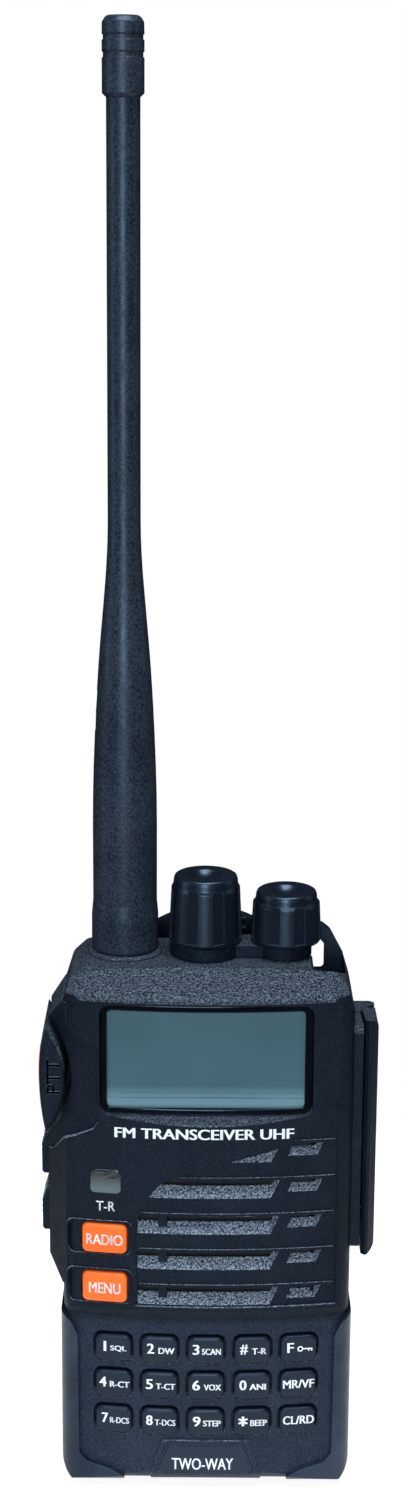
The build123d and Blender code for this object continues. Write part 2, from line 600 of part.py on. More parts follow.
def make_bracket():
    y, z = CLIP_PIVOT
    back = TOP_BACK_Y + PLATE_T
    base = along_y(rounded(0, 95.2, 22.0, 9.6, 1.5), back, back + 2.2)
    for screw_x, screw_z in CLIP_SCREWS:
        base -= rod_y(screw_x, screw_z, back - 1, back + 5, 1.2)
    for x in (-9.6, 9.6):
        lug = along_x(flat([(back + 2.0, z - 2.6), (y + 1.4, z - 1.6), (y + 1.9, z), (y + 1.4, z + 1.6),
                            (back + 2.0, z + 2.6)]), x - 1.3, x + 1.3)
        base += lug
    return base - rod_x(y, z, -12, 12, CLIP_PIN_R)


def make_clip():
    """Spring clip: thumb lever above the pin, long blade below it."""
    y, z = CLIP_PIVOT
    side = flat([
        (13.5, 110.9), (14.6, 111.2), (15.7, 110.2), (17.9, 100.5), (18.9, 96.0), (21.0, 88.0), (21.8, 70.0),
        (21.2, 50.0), (20.0, 42.0), (21.0, 36.5), (19.8, 36.2), (18.2, 41.6), (19.4, 50.0), (19.9, 70.0),
        (19.3, 86.0), (17.6, 92.0), (16.9, 95.6), (15.8, 100.4), (13.9, 107.5),
    ], 0.35)
    wide = CLIP_HALF_W
    front = make_face([
        ThreePointArc((-wide, 107.3), (0, 110.9), (wide, 107.3)), Line((wide, 107.3), (wide, 98.0)),
        Line((wide, 98.0), (8.8, 85)), Line((8.8, 85), (8.4, 42)), Line((8.4, 42), (5.0, 35)),
        Line((5.0, 35), (-5.0, 35)), Line((-5.0, 35), (-8.4, 42)), Line((-8.4, 42), (-8.8, 85)),
        Line((-8.8, 85), (-wide, 98.0)), Line((-wide, 98.0), (-wide, 107.3)),
    ])
    front = fillet((Sketch() + front).vertices(), 1.5)
    blade = along_x(side, -12, 12) & along_y(front, 5, 30)
    for x in (-11.6, 11.6):
        blade -= block(x - 3.5, x + 3.5, 10, 18.5, z - 4.2, z + 4.0)
    knuckle = rod_x(y, z, -7.9, 7.9, 1.6) + block(-7.9, 7.9, y - 0.4, y + 1.9, z - 1.7, z + 3.0)
    blade += knuckle
    blade -= rod_x(y, z, -3.6, 3.6, 1.9) + block(-3.6, 3.6, 12, y + 0.6, z - 2, z + 4)
    for rib in range(2):
        blade += block(-7.5, 7.5, 13.6, 15.2, 106.5 + 2.0 * rib, 107.0 + 2.0 * rib) - along_x(side, -12, 12)
    return blade - rod_x(y, z, -12, 12, CLIP_PIN_R + RUN)


def make_clip_spring():
    y, z = CLIP_PIVOT
    turns = []
    for index in range(6):
        turns.append(Pos(-2.5 + 1.0 * index, y, z) * Rot(0, 90, 0) * Torus(1.38, 0.3))
    return Compound(children=turns)


def make_battery_case():
    outline = Sketch() + flat([(-27.4, 5.0), (27.4, 5.0), (27.4, BATTERY_BACK), (-27.4, BATTERY_BACK)])
    outline = fillet(outline.vertices().sort_by(Axis.Y)[2:], 5.0)
    side = Sketch() + flat([(5.0, 0.5), (BATTERY_BACK, 0.5), (BATTERY_BACK, BATTERY_TOP), (5.0, BATTERY_TOP)])
    side = fillet(side.vertices().sort_by(Axis.X)[2:], 2.4)
    case = along_z(outline, 0, 90) & along_x(side, -40, 40)
    case -= block(-25.4, 25.4, 4.0, 15.4, 3.0, 82.5)
    case -= block(-26.2, 26.2, 4.0, 6.3, 2.2, 83.3)
    for rib in range(5):
        case -= along_y(rounded(0, 16.0 + 5.0 * rib, 34.0, 1.2, 0.55), BATTERY_BACK - 0.5, BATTERY_BACK + 2)
    for x in (-6.0, 6.0):
        case -= rod_y(x, 8.0, BATTERY_BACK - 1.0, BATTERY_BACK + 1, 2.3)
    return case


def make_battery_contacts():
    pads = [rod_y(x, 8.0, BATTERY_BACK - 1.0, BATTERY_BACK - 0.3, 2.25) for x in (-6.0, 6.0)]
    pads += [block(x - 2, x + 2, 5.15, 5.55, 73.0, 80.0) for x in (-9.0, 0.0, 9.0)]
    return Compound(children=pads)


def make_battery_lid():
    lid = block(-26.2, 26.2, 5.0, 6.3, 2.2, 83.3)
    for x in (-9.0, 0.0, 9.0):
        lid -= block(x - 2, x + 2, 4, 5.55, 73.0, 80.0)
    return lid


def make_battery_cells():
    return Compound(children=[
        fillet(block(x0, x0 + 24.4, 6.6, 15.2, 6.0, 68.0).edges().filter_by(Axis.Z), 3.8) for x0 in (-24.9, 0.5)])


def make_latch():
    """Slide over the back edge of the battery."""
    latch = block(-8.6, 8.6, 12.4, 17.2, 85.9, 88.6) + block(-7.0, 7.0, 16.9, 17.7, 85.4, 87.0)
    for rib in range(2):
        latch += block(-6.0, 6.0, 17.0, 17.6, 87.3 + 0.7 * rib, 87.6 + 0.7 * rib)
    return latch


def make_seal():
    """Open gasket in the groove of the housing's parting face."""
    outer = rounded(0, 45.0, 54.0, 88.8, 4.9)
    inner = rounded(0, 45.0, 52.6, 87.4, 4.2)
    return along_y(outer - inner, PART_Y - SEAL_T, PART_Y) & block(-40, 40, -5, 5, -1, 84)


def make_collar():
    left_x, left_y, *_ = KNOBS["channel"]
    right_x, right_y, *_ = KNOBS["volume"]
    outline = Sketch() + Pos(left_x, left_y) * Circle(6.8) + Pos(right_x - 0.4, right_y) * Circle(5.4)
    outline += Pos((left_x + right_x) / 2, left_y) * Rectangle(11.0, 7.0)
    collar = along_z(outline, BODY_H, KNOB_BASE_Z - 0.3)
    for x, y, *_ in KNOBS.values():
        collar -= rod(x, y, BODY_H - 1, BODY_H + 3, BUSH_R)
    return collar


nodes = {
    "front_housing": make_front_housing(),
    "side_rails": make_side_rails(),
    "brow_plate": make_brow(),
    "display_window": plate(rounded(*WINDOW, 1.9), PANEL_Y + 0.95, PANEL_Y + 2.2),
    "lcd_panel": block(-20.0, 19.5, -13.2, -11.4, 79.6, 100.4),
    "status_window": plate(rounded(*STATUS, 0.9), PANEL_Y - 0.05, PANEL_Y + 2.4),
    "badge_plate": plate(flat([(-9.6, 4.0), (-7.25, 9.5), (7.45, 9.5), (9.6, 4.0)], 0.5), BAY_Y - 0.35, BAY_Y - 0.1),
    "speaker": make_speaker(),
    "speaker_cloth": along_y(rounded(2.7, 57.4, 33.4, 34.6, 1.5), -13.55, -13.25),
    "microphone": rod_y(*MIC_AT, -13.2, -10.6, 2.2),
    "dome_sheet": block(-20.0, 20.0, -10.4, -9.95, 10.5, 35.0),
    "main_board": make_board(),
    "housing_seal": make_seal(),
    "knob_collar": make_collar(),
    "antenna_socket": make_socket(),
    "channel_encoder": make_encoder("channel"),
    "volume_pot": make_encoder("volume"),
    "channel_shaft": make_shaft("channel"),
    "volume_shaft": make_shaft("volume"),
    "channel_knob": make_knob("channel"),
    "volume_knob": make_knob("volume"),
    "jack_block": make_jack_block(),
    "jack_cover": make_cover(),
    "jack_cover_pin": rod(*COVER_HINGE, HINGE_Z[0] + 0.2, HINGE_Z[1] - 0.2, COVER_PIN_R),
    "ptt_lever": make_ptt(),
    "ptt_strip": make_ptt_strip(),
    "antenna_whip": make_whip(),
    "antenna_cap": make_cap(),
    "antenna_insert": make_insert(),
    "rear_chassis": make_chassis(),
    "housing_screws": make_housing_screws(),
    "clip_screws": make_clip_screws(),
    "clip_bracket": make_bracket(),
    "clip_pin": rod_x(*CLIP_PIVOT, -10.9, 10.9, CLIP_PIN_R),
    "clip_spring": make_clip_spring(),
    "belt_clip": make_clip(),
    "battery_case": make_battery_case(),
    "battery_lid": make_battery_lid(),
    "battery_cells": make_battery_cells(),
    "battery_contacts": make_battery_contacts(),
    "battery_latch": make_latch(),
}
for name, (z0, z1) in SIDE_KEYS.items():
    nodes[name] = make_side_key(z0, z1)
for name, (z, height) in ORANGE.items():
    nodes[name] = make_orange_key(z, height)
for z, row in zip(KEY_ROWS, KEY_NAMES):
    for column, name in enumerate(row):
        nodes[name] = make_key((column - 2) * KEY_PITCH_X, z, KEY_W, KEY_H, BAY_Y - 0.7, 1.3)

os.makedirs("parts", exist_ok=True)
for name, shape in nodes.items():
    export_step(shape, f"parts/{name}.step")
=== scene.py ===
"""Looks of a handheld keypad transceiver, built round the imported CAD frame.

Metres, in the frame's own axes: X right, Y to the back, Z up, origin in the middle of the base.
"""
import json
import math

import bmesh
import bpy
from mathutils import Matrix, Vector


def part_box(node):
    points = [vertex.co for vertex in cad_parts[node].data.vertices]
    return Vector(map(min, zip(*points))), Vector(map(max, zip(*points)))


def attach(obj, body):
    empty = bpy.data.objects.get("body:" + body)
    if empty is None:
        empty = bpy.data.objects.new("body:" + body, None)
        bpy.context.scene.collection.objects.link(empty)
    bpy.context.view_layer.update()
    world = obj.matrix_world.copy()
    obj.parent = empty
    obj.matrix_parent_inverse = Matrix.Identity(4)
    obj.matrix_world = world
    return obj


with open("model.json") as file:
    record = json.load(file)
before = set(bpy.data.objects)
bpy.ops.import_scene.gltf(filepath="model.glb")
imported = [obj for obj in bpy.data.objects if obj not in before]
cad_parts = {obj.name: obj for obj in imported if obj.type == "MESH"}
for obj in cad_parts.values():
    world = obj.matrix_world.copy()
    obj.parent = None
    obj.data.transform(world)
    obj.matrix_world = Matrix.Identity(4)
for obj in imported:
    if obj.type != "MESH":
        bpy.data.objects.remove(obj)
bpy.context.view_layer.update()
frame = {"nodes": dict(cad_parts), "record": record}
NODES = frame["nodes"]

MM = 0.001
FRONT_R = 145 * MM               # plan radius of the bowed front
KEY_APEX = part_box("key_3")[0].y  # foremost point of the keys' faces
KEY_HEIGHT = 0.7 * MM            # of the keys above the keypad's floor
PANEL_STEP = 1.0 * MM            # of the panel above the keypad's floor
PANEL_APEX = KEY_APEX + KEY_HEIGHT - PANEL_STEP
PRINT_PROUD = 0.03 * MM          # how far printed ink stands off its surface


# ------------------------------------------------------------------ camera, light and floor
def aim(obj, target):
    direction = Vector(target) - obj.location
    obj.rotation_euler = direction.to_track_quat("-Z", "Y").to_euler()


LENS_MM, SENSOR_MM = 55.2, 36.0
CAMERA_AHEAD = 405 * MM
CAMERA_HEIGHT = 251 * MM
LOOK_DOWN, CAMERA_ROLL = 13.9, 0.35      # degrees


def make_camera():
    """Camera of a close product shot, looking a little down."""
    data = bpy.data.cameras.new("camera")
    data.lens = LENS_MM
    data.sensor_width = SENSOR_MM
    data.clip_start = 0.01
    camera = bpy.data.objects.new("camera", data)
    bpy.context.scene.collection.objects.link(camera)
    camera.location = (-1.1 * MM, PANEL_APEX - CAMERA_AHEAD, CAMERA_HEIGHT)
    tilt = Matrix.Rotation(math.radians(90 - LOOK_DOWN), 3, "X")
    roll = Matrix.Rotation(math.radians(CAMERA_ROLL), 3, "Z")
    camera.rotation_euler = (tilt @ roll).to_euler()
    bpy.context.scene.camera = camera


def area_light(name, location, target, size, power):
    data = bpy.data.lights.new(name, "AREA")
    data.shape = "RECTANGLE"
    data.size = size[0]
    data.size_y = size[1]
    data.energy = power
    data.color = SOFTBOX_COLOUR
    light = bpy.data.objects.new(name, data)
    bpy.context.scene.collection.objects.link(light)
    light.location = location
    aim(light, target)


# Softboxes: place, target, size (metres) and power (watts).
SOFTBOX_COLOUR = (0.76, 0.88, 1.0)
SOFTBOXES = {
    "softbox_top": ((0.04, -0.14, 0.95), (0, 0, 0.1), (0.55, 0.45), 11.5),
    "softbox_left": ((-0.6, -0.12, 0.28), (0, 0, 0.12), (0.2, 0.6), 0.9),
    "softbox_right": ((0.6, 0.05, 0.3), (0, 0, 0.1), (0.15, 0.5), 0.2),
    "softbox_front": ((-0.06, -0.9, 0.3), (0, 0, 0.15), (0.24, 0.5), 8.0),
}
ROOM_COLOUR = (0.6, 0.8, 1.0, 1)
ROOM_STRENGTH = 0.035            # dim room that the reflections show


def make_studio():
    """Four softboxes, a white background for the camera and a dim room for everything else."""
    for name, (location, target, size, power) in SOFTBOXES.items():
        area_light(name, location, target, size, power)
    world = bpy.data.worlds.new("studio")
    bpy.context.scene.world = world
    world.use_nodes = True
    tree = world.node_tree
    seen = tree.nodes["Background"]
    seen.inputs["Color"].default_value = (1, 1, 1, 1)
    seen.inputs["Strength"].default_value = 1.0
    room = tree.nodes.new("ShaderNodeBackground")
    room.inputs["Color"].default_value = ROOM_COLOUR
    room.inputs["Strength"].default_value = ROOM_STRENGTH
    path = tree.nodes.new("ShaderNodeLightPath")
    mix = tree.nodes.new("ShaderNodeMixShader")
    tree.links.new(path.outputs["Is Camera Ray"], mix.inputs[0])
    tree.links.new(room.outputs[0], mix.inputs[1])
    tree.links.new(seen.outputs[0], mix.inputs[2])
    tree.links.new(mix.outputs[0], tree.nodes["World Output"].inputs["Surface"])


FLOOR_HALF = 160 * MM
FLOOR_GLOW = 0.85                # a lit table top, so the object casts almost no shadow


def make_floor():
    """Pale square that glows a little, like a light table."""
    mesh = bpy.data.meshes.new("studio_floor")
    bm = bmesh.new()
    corners = [bm.verts.new((x * FLOOR_HALF, y * FLOOR_HALF, 0))
               for x, y in ((-1, -1), (1, -1), (1, 1), (-1, 1))]
    bm.faces.new(corners)
    bm.to_mesh(mesh)
    bm.free()
    floor = bpy.data.objects.new("studio_floor", mesh)
    bpy.context.scene.collection.objects.link(floor)
    material = bpy.data.materials.new("pale_floor")
    material.use_nodes = True
    shader = material.node_tree.nodes["Principled BSDF"]
    shader.inputs["Base Color"].default_value = (0.40, 0.385, 0.36, 1)
    shader.inputs["Roughness"].default_value = 0.8
    shader.inputs["Specular IOR Level"].default_value = 0.2
    shader.inputs["Emission Color"].default_value = (1, 0.99, 0.97, 1)
    shader.inputs["Emission Strength"].default_value = FLOOR_GLOW
    mesh.materials.append(material)


# ------------------------------------------------------------------ material building blocks
COOL_SHEEN = (0.55, 0.76, 1.0, 1)       # black mouldings reflect a little blue


class Graph:
    """A material with short calls for its nodes."""

    def __init__(self, name):
        self.material = bpy.data.materials.new(name)
        self.material.use_nodes = True
        self.tree = self.material.node_tree
        self.shader = self.tree.nodes["Principled BSDF"]
        coords = self.tree.nodes.new("ShaderNodeTexCoord")
        self.position = coords.outputs["Object"]

    def node(self, kind, **settings):
        node = self.tree.nodes.new(kind)
        for key, value in settings.items():
            setattr(node, key, value)
        return node

    def link(self, source, target):
        self.tree.links.new(source, target)

    def set(self, **values):
        """Constant values of the shader's own sockets."""
        names = {
            "rough": "Roughness", "spec": "Specular IOR Level", "metal": "Metallic",
            "alpha": "Alpha", "tint": "Specular Tint",
        }
        for key, value in values.items():
            self.shader.inputs[names[key]].default_value = value

    def noise(self, size, detail=2.0, rough=0.5):
        """Noise whose lumps are about size metres across."""
        node = self.node("ShaderNodeTexNoise")
        node.inputs["Scale"].default_value = 1 / size
        node.inputs["Detail"].default_value = detail
        node.inputs["Roughness"].default_value = rough
        self.link(self.position, node.inputs["Vector"])
        return node.outputs["Fac"]

    def cells(self, size):
        """Distance from the middles of soft round cells about size metres across."""
        node = self.node("ShaderNodeTexVoronoi", feature="SMOOTH_F1")
        node.inputs["Scale"].default_value = 1 / size
        node.inputs["Smoothness"].default_value = 0.4
        self.link(self.position, node.inputs["Vector"])
        return node.outputs["Distance"]

    def ramp(self, value, low, high, out_low=0.0, out_high=1.0):
        """Maps low..high to out_low..out_high and clamps beyond."""
        node = self.node("ShaderNodeMapRange")
        node.inputs["From Min"].default_value = low
        node.inputs["From Max"].default_value = high
        node.inputs["To Min"].default_value = out_low
        node.inputs["To Max"].default_value = out_high
        self.link(value, node.inputs["Value"])
        return node.outputs["Result"]

    def math(self, operation, a, b):
        node = self.node("ShaderNodeMath", operation=operation)
        for index, value in enumerate((a, b)):
            if isinstance(value, (int, float)):
                node.inputs[index].default_value = value
            else:
                self.link(value, node.inputs[index])
        return node.outputs[0]

    def mix_colour(self, factor, dark, light):
        node = self.node("ShaderNodeMix", data_type="RGBA")
        for name, value in (("A", dark), ("B", light)):
            socket = [s for s in node.inputs if s.name == name and s.type == "RGBA"][0]
            if isinstance(value, tuple):
                socket.default_value = (*value, 1)
            else:
                self.link(value, socket)
        self.link(factor, node.inputs["Factor"])
        return [s for s in node.outputs if s.type == "RGBA"][0]

    def colour(self, output):
        self.link(output, self.shader.inputs["Base Color"])

    def rough(self, output):
        self.link(output, self.shader.inputs["Roughness"])

    def bump(self, height, strength, distance, after):
        """Relief on top of another normal."""
        node = self.node("ShaderNodeBump")
        node.inputs["Strength"].default_value = strength
        node.inputs["Distance"].default_value = distance
        self.link(height, node.inputs["Height"])
        self.link(after, node.inputs["Normal"])
        self.link(node.outputs["Normal"], self.shader.inputs["Normal"])

    def rounded_normal(self, radius):
        """Softly rounded edges, as a moulded part has them."""
        node = self.node("ShaderNodeBevel", samples=6)
        node.inputs["Radius"].default_value = radius
        return node.outputs["Normal"]

    def axis(self, name):
        """One component of the position."""
        node = self.node("ShaderNodeSeparateXYZ")
        self.link(self.position, node.inputs[0])
        return node.outputs[name]

    def facing(self, name):
        """One component of the surface's own normal."""
        geometry = self.node("ShaderNodeNewGeometry")
        node = self.node("ShaderNodeSeparateXYZ")
        self.link(geometry.outputs["Normal"], node.inputs[0])
        return node.outputs[name]

    def pebble_height(self, size):
        """Coarse pebbles with finer grain on them."""
        cells = self.math("MULTIPLY", self.cells(size), -1.0)
        return self.math("ADD", cells, self.math("MULTIPLY", self.noise(size * 0.6, 2), 0.8))

    def blend(self, factor, low, high):
        """Mixes two single values."""
        node = self.node("ShaderNodeMix", data_type="FLOAT")
        for socket, value in zip([s for s in node.inputs if s.type == "VALUE"], (factor, low, high)):
            self.link(value, socket)
        return [s for s in node.outputs if s.type == "VALUE"][0]


def moulded_plastic(name, base, light, grain=0.28 * MM, depth=0.03 * MM, rough=(0.38, 0.52),
                    edge=0.25 * MM):
    """Spark-textured moulding: fine grain, patchy sheen, faint handling wear."""
    g = Graph(name)
    g.set(spec=0.3, tint=COOL_SHEEN)
    grain_height = g.noise(grain, 2, 0.6)
    tone = g.math("ADD", grain_height, g.math("MULTIPLY", g.noise(9 * MM, 3), 0.3))
    g.colour(g.mix_colour(g.ramp(tone, 0.52, 0.8), base, light))
    g.rough(g.ramp(g.noise(4 * MM, 4), 0.3, 0.7, *rough))
    g.bump(grain_height, 0.9, depth, g.rounded_normal(edge))
    return g.material


def matt_cloth(name, base, light, size, depth, rough):
    """Matt cloth with small soft lumps."""
    g = Graph(name)
    g.set(spec=0.6)
    cells = g.cells(size)
    fine = g.noise(size * 0.6, 2)
    height = g.math("ADD", g.math("MULTIPLY", cells, -1.0), g.math("MULTIPLY", fine, 0.8))
    g.colour(g.mix_colour(g.ramp(fine, 0.35, 0.7), base, light))
    g.rough(g.ramp(g.noise(2 * MM, 2), 0.3, 0.7, *rough))
    g.bump(height, 1.0, depth, g.rounded_normal(0.3 * MM))
    return g.material


def smooth_gloss(name, base, light, rough, tint=COOL_SHEEN):
    """Smooth moulding with faint smears."""
    g = Graph(name)
    g.set(spec=0.5, tint=tint)
    g.colour(g.mix_colour(g.ramp(g.noise(6 * MM, 2), 0.3, 0.7), base, light))
    g.rough(g.ramp(g.noise(1.2 * MM, 5, 0.7), 0.35, 0.75, *rough))
    g.bump(g.noise(0.25 * MM, 2), 0.3, 0.006 * MM, g.rounded_normal(0.3 * MM))
    return g.material


def metal(name, base, light):
    """Plated metal with an uneven sheen."""
    g = Graph(name)
    g.set(metal=1.0)
    g.colour(g.mix_colour(g.noise(1.5 * MM, 4), base, light))
    g.rough(g.ramp(g.noise(0.6 * MM, 4), 0.3, 0.7, 0.25, 0.4))
    g.bump(g.noise(0.15 * MM, 2), 0.4, 0.01 * MM, g.rounded_normal(0.12 * MM))
    return g.material


BLACK = (0.0020, 0.0032, 0.0065)
BLACK_LIGHT = (0.0095, 0.0125, 0.0200)
SLATE = (0.008, 0.0115, 0.021)           # the keypad part is a shade lighter, partly a painted reflection of the pale floor
SLATE_LIGHT = (0.026, 0.033, 0.052)
STEP_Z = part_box("side_rails")[1].z        # the keypad part ends here
SPEAKER_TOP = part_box("speaker_cloth")[1].z + 2 * MM


def housing_plastic():
    """Black moulding, a shade lighter at the keypad, partly as a painted reflection of the pale floor.

    Upright faces have a fine grain. Upward faces have coarse pebbles and are painted lighter with pale
    flecks, as painted top light and glints. The upward faces in the louvres are painted pale, as
    painted top light.
    """
    g = Graph("housing_plastic")
    g.set(spec=0.14, tint=COOL_SHEEN)
    up = g.ramp(g.facing("Z"), 0.06, 0.16)
    # upward faces below the top of the speaker: the louvres' faces that the top light falls on
    painted_lit_ramp_mask = g.math("MULTIPLY", up, g.ramp(g.axis("Z"), SPEAKER_TOP, SPEAKER_TOP + 1 * MM, 1.0, 0.0))
    # keypad part below the step: lighter tone, partly a painted reflection of the pale floor
    low = g.ramp(g.axis("Z"), STEP_Z - 1.0 * MM, STEP_Z + 0.6 * MM, 1.0, 0.0)
    grain = g.noise(0.3 * MM, 3, 0.6)
    speckle = g.ramp(g.math("ADD", grain, g.math("MULTIPLY", g.noise(9 * MM, 3), 0.2)), 0.52, 0.74)
    black = g.mix_colour(speckle, BLACK, BLACK_LIGHT)
    slate = g.mix_colour(speckle, SLATE, SLATE_LIGHT)
    tone = g.mix_colour(low, black, slate)
    # painted top light and glints: upward faces lighter, with pale flecks
    painted_lit_slopes = g.mix_colour(g.ramp(grain, 0.42, 0.66), (0.008, 0.011, 0.016), (0.085, 0.098, 0.115))
    # painted top light: the louvres' upward faces pale
    painted_lit_ramps = g.mix_colour(g.ramp(grain, 0.42, 0.62), (0.012, 0.017, 0.026), (0.30, 0.34, 0.40))
    g.colour(g.mix_colour(painted_lit_ramp_mask, g.mix_colour(up, tone, painted_lit_slopes), painted_lit_ramps))
    g.rough(g.ramp(g.noise(4 * MM, 4), 0.3, 0.7, 0.36, 0.5))
    height = g.blend(up, g.math("MULTIPLY", grain, 0.6), g.pebble_height(0.42 * MM))
    g.bump(height, 1.0, 0.17 * MM, g.rounded_normal(0.25 * MM))
    return g.material


def trim_plastic():
    """Coarse pebbles on the brow, with pale flecks that are painted glints of the top light; smoother
    satin on the rails.
    """
    g = Graph("trim_plastic")
    g.set(spec=0.3, tint=COOL_SHEEN)
    high = g.ramp(g.axis("Z"), 60 * MM, 61 * MM)     # the brow is above, the rails are below
    fine = g.noise(0.3 * MM, 2)
    satin = g.mix_colour(g.ramp(g.noise(9 * MM, 3), 0.35, 0.7), SLATE, SLATE_LIGHT)
    # painted glints: pale flecks on the brow stand for sparkle of the top light
    painted_glint_specks = g.ramp(g.noise(0.36 * MM, 2, 0.6), 0.44, 0.64)
    pebbles = g.mix_colour(painted_glint_specks, (0.004, 0.006, 0.010), (0.085, 0.095, 0.112))
    g.colour(g.mix_colour(high, satin, pebbles))
    g.rough(g.ramp(g.noise(2 * MM, 2), 0.3, 0.7, 0.3, 0.42))
    height = g.blend(high, g.math("MULTIPLY", fine, 0.15), g.pebble_height(0.55 * MM))
    g.bump(height, 1.0, 0.22 * MM, g.rounded_normal(0.35 * MM))
    return g.material


def make_materials():
    """One material for each slot name of the record."""
    m = {}
    m["housing"] = housing_plastic()
    m["textured_trim"] = trim_plastic()
    m["badge"] = moulded_plastic("badge_plastic", SLATE, (0.018, 0.024, 0.038),
                                 grain=0.2 * MM, depth=0.01 * MM)
    m["knob"] = smooth_gloss("knob_plastic", (0.004, 0.006, 0.010), (0.006, 0.008, 0.013), (0.28, 0.36))
    m["keycap"] = moulded_plastic("keycap_plastic", (0.006, 0.008, 0.014), (0.010, 0.013, 0.021),
                                  grain=0.15 * MM, depth=0.008 * MM, rough=(0.3, 0.4), edge=0.3 * MM)
    m["orange_key"] = smooth_gloss("orange_plastic", (0.86, 0.115, 0.012), (0.93, 0.14, 0.018),
                                   (0.3, 0.42), tint=(1.0, 0.62, 0.4, 1))
    m["whip_rubber"] = moulded_plastic("whip_rubber", (0.006, 0.009, 0.014), (0.028, 0.034, 0.046),
                                       grain=0.45 * MM, depth=0.02 * MM, rough=(0.33, 0.48))
    m["rubber_black"] = moulded_plastic("black_rubber", BLACK, BLACK_LIGHT, rough=(0.6, 0.75))
    m["jack"] = smooth_gloss("jack_moulding", (0.01, 0.01, 0.011), (0.014, 0.014, 0.015), (0.25, 0.4))
    m["cloth"] = matt_cloth("dust_cloth", (0.002, 0.002, 0.003), (0.004, 0.004, 0.005),
                            0.25 * MM, 0.05 * MM, (0.8, 0.9))
    m["clip"] = moulded_plastic("clip_nylon", BLACK, BLACK_LIGHT,
                                grain=0.2 * MM, depth=0.012 * MM, rough=(0.3, 0.42))
    m["cast_metal"] = moulded_plastic("powder_paint", BLACK, BLACK_LIGHT, grain=0.4 * MM)
    m["board"] = smooth_gloss("solder_mask", (0.01, 0.07, 0.03), (0.015, 0.1, 0.04), (0.3, 0.45))
    m["brass"] = metal("gilt_brass", (0.75, 0.52, 0.2), (0.9, 0.68, 0.32))
    m["screw_steel"] = metal("zinc_steel", (0.45, 0.45, 0.47), (0.6, 0.6, 0.63))
    m["speaker_frame"] = metal("plated_steel", (0.4, 0.4, 0.42), (0.55, 0.55, 0.57))
    m["cells"] = metal("cell_foil", (0.35, 0.4, 0.5), (0.45, 0.5, 0.6))
    m["lcd"] = lcd_material()
    m["window"] = clear_window()
    m["status_lens"] = status_lens()
    return m


def lcd_material():
    """Blue-grey display with a paler band along its lower edge."""
    g = Graph("lcd_glass")
    g.set(spec=0.3, rough=0.35)
    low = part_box("display_window")[0].z
    z = g.axis("Z")
    clouds = g.ramp(g.noise(14 * MM, 1), 0.3, 0.7)
    body = g.mix_colour(clouds, (0.058, 0.122, 0.146), (0.068, 0.138, 0.163))
    band = g.ramp(z, low + 2.0 * MM, low + 5.0 * MM, 1.0, 0.0)
    g.colour(g.mix_colour(band, body, (0.21, 0.36, 0.40)))
    return g.material


def clear_window():
    """Almost fully clear sheet with a sharp reflection."""
    g = Graph("clear_window")
    g.set(alpha=0.06, rough=0.03, spec=0.2)
    g.colour(g.mix_colour(g.noise(5 * MM), (0.01, 0.012, 0.014), (0.012, 0.014, 0.016)))
    return g.material


def status_lens():
    """Unlit light guide, darker towards its top: the paler lower part is a painted highlight in the
    lens.
    """
    g = Graph("status_light_guide")
    g.set(rough=0.08, spec=0.6)
    low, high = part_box("status_window")
    rise = g.ramp(g.axis("Z"), low.z, high.z)
    # paler towards the bottom: a painted highlight in the lens
    painted_highlight_mask = g.ramp(rise, 0.15, 0.75, 1.0, 0.0)
    g.colour(g.mix_colour(painted_highlight_mask, (0.006, 0.011, 0.013), (0.06, 0.095, 0.095)))
    g.bump(g.noise(1.2 * MM, 2), 0.4, 0.05 * MM, g.rounded_normal(0.5 * MM))
    return g.material


def paint_cad_nodes(materials):
    """Gives every CAD node the material of its slot."""
    slots = {entry["node"]: entry["material_slot"] for entry in frame["record"]["subparts"]}
    for name, obj in NODES.items():
        material = materials[slots[name]]
        if not obj.material_slots:
            obj.data.materials.append(material)
        for slot in obj.material_slots:
            slot.material = material


# ------------------------------------------------------------------ lettering
def bow(x, apex):
    """Y of a bowed front at x, whose foremost point is apex."""
    return apex + FRONT_R - math.sqrt(FRONT_R**2 - x * x)


def white_print():
    g = Graph("white_print")
    g.set(spec=0.4)
    g.colour(g.mix_colour(g.noise(0.5 * MM, 2), (0.7, 0.72, 0.74), (0.9, 0.91, 0.92)))
    g.rough(g.ramp(g.noise(1 * MM, 2), 0.3, 0.7, 0.4, 0.55))
    return g.material


def text_mesh(name, text):
    """Flat mesh of a text in the built-in font."""
    curve = bpy.data.curves.new(name, "FONT")
    curve.body = text
    curve.size = 1.0
    curve.resolution_u = 4
    source = bpy.data.objects.new(name + "_source", curve)
    bpy.context.scene.collection.objects.link(source)
    bpy.context.view_layer.update()
    mesh = bpy.data.meshes.new_from_object(source.evaluated_get(bpy.context.evaluated_depsgraph_get()))
    bpy.data.objects.remove(source)
    mesh.materials.clear()
    return mesh


def embolden(mesh, weight):
    """Adds copies shifted sideways, which thickens the upright strokes."""
    bm = bmesh.new()
    for shift in (-weight, 0.0, weight):
        copy = mesh.copy()
        copy.transform(Matrix.Translation((shift, 0, 0)))
        bm.from_mesh(copy)
        bpy.data.meshes.remove(copy)
    bm.to_mesh(mesh)
    bm.free()


WIDEST_FIGURE = 1.05             # a single character is never stretched more than this


def lettering(name, text, centre_x, base_z, height, width, apex, material, weight):
    """Printed text on a bowed face, fitted to a height and a width."""
    mesh = text_mesh(name, text)
    embolden(mesh, weight)
    xs = [v.co.x for v in mesh.vertices]
    zs = [v.co.y for v in mesh.vertices]
    scale_z = height / (max(zs) - min(zs))
    scale_x = width / (max(xs) - min(xs))
    if len(text) == 1:
        scale_x = min(scale_x, scale_z * WIDEST_FIGURE)
    middle = (min(xs) + max(xs)) / 2
    for vertex in mesh.vertices:
        x = centre_x + (vertex.co.x - middle) * scale_x
        z = base_z + (vertex.co.y - min(zs)) * scale_z
        vertex.co = (x, bow(x, apex) - PRINT_PROUD, z)
    mesh.materials.append(material)
    piece = bpy.data.objects.new(name, mesh)
    bpy.context.scene.collection.objects.link(piece)
    return piece


